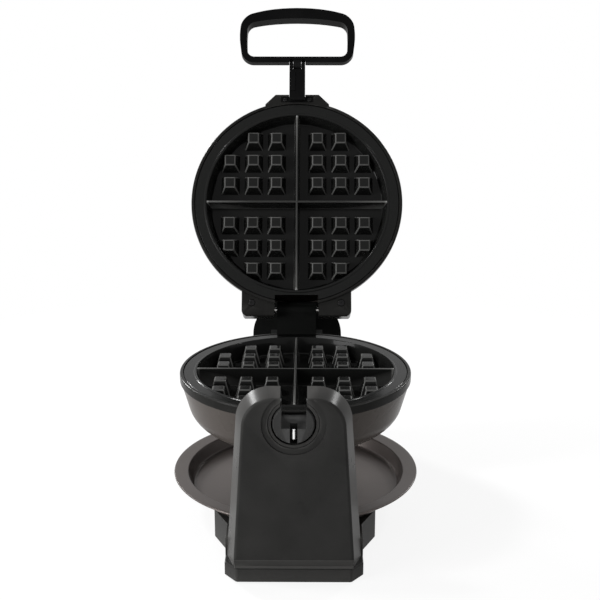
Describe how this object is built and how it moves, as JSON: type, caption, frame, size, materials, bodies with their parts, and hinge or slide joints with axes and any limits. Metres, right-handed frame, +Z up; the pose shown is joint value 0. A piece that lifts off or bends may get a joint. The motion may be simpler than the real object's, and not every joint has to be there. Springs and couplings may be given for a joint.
{
  "type": "belgian waffle maker",
  "caption": "Rotating Belgian waffle maker: a hinged round head turns between its front and rear towers, with a folding loop handle and a slide-out drip tray.",
  "frame": {"origin": "on the table, in the middle of the footprint of the whole object with its lid open", "axes": "+Z up, +X to the right seen from the front, -Y towards the front tower"},
  "size_m": [0.228, 0.3792, 0.4551],
  "materials": {
    "black_plastic": "matte black, heat-resistant plastic",
    "grey_plastic": "satin dark grey plastic",
    "non_stick": "cast plate with a dark non-stick coating",
    "dark_steel": "satin gunmetal coating",
    "tray_coat": "satin dark coating",
    "steel": "plain steel",
    "rubber": "matte rubber",
    "ceramic": "pale glazed ceramic",
    "amber_lens": "amber lens",
    "green_lens": "green lens"
  },
  "bodies": {
    "base": {"base_housing": "black_plastic", "base_bottom_plate": "black_plastic", "foot_1": "rubber", "foot_2": "rubber", "foot_3": "rubber", "foot_4": "rubber", "bottom_screw_1": "steel", "bottom_screw_2": "steel", "bottom_screw_3": "steel", "bottom_screw_4": "steel", "front_tower_shell": "black_plastic", "front_tower_cover": "black_plastic", "front_cover_screw_1": "steel", "front_cover_screw_2": "steel", "front_bearing_liner": "grey_plastic", "rear_tower_shell": "black_plastic", "rear_tower_cover": "black_plastic", "rear_cover_screw_1": "steel", "rear_cover_screw_2": "steel", "rear_cover_screw_3": "steel", "rear_cover_screw_4": "steel", "rear_bearing_bush": "grey_plastic", "terminal_block": "ceramic", "cord_gland": "rubber"},
    "tray": {"drip_tray": "tray_coat"},
    "head": {"lower_shell": "dark_steel", "lower_bezel": "black_plastic", "lower_grid_plate": "non_stick", "lower_heating_element": "steel", "lower_heat_reflector": "steel", "thermostat": "ceramic", "front_collar": "grey_plastic", "rear_pivot_bracket": "black_plastic", "rear_pivot_shaft": "steel", "shaft_retaining_ring": "steel", "hinge_pin": "steel", "shell_screw_1": "steel", "shell_screw_2": "steel", "shell_screw_3": "steel", "bracket_screw_1": "steel", "bracket_screw_2": "steel"},
    "plunger": {"lock_plunger": "steel"},
    "lid": {"upper_shell": "dark_steel", "upper_bezel": "black_plastic", "upper_grid_plate": "non_stick", "upper_heating_element": "steel", "upper_heat_reflector": "steel", "thermal_fuse": "ceramic", "handle_shaft": "black_plastic", "handle_screw_1": "steel", "handle_screw_2": "steel", "handle_fold_pin": "steel", "ear_screw_1": "steel", "ear_screw_2": "steel", "power_lens": "amber_lens", "ready_lens": "green_lens"},
    "handle": {"handle_grip": "black_plastic"}
  },
  "joints": [
    {"name": "head_flip", "type": "hinge", "parent": "base", "child": "head", "pos_m": [0, -0.0493, 0.141], "axis": [0, 1, 0], "range_deg": [0, 90]},
    {"name": "lid_hinge", "type": "hinge", "parent": "head", "child": "lid", "pos_m": [0, 0.0577, 0.1635], "axis": [1, 0, 0], "range_deg": [0, 117]},
    {"name": "handle_fold", "type": "hinge", "parent": "lid", "child": "handle", "pos_m": [0, 0.15491, 0.3968], "axis": [1, 0, 0], "range_deg": [0, 90]},
    {"name": "tray_slide", "type": "slide", "parent": "base", "child": "tray", "axis": [1, 0, 0], "range_m": [0, 0.24]},
    {"name": "plunger_press", "type": "slide", "parent": "head", "child": "plunger", "axis": [0, 0, 1], "range_m": [0, 0.002], "stiffness_N_per_m": 400}
  ]
}
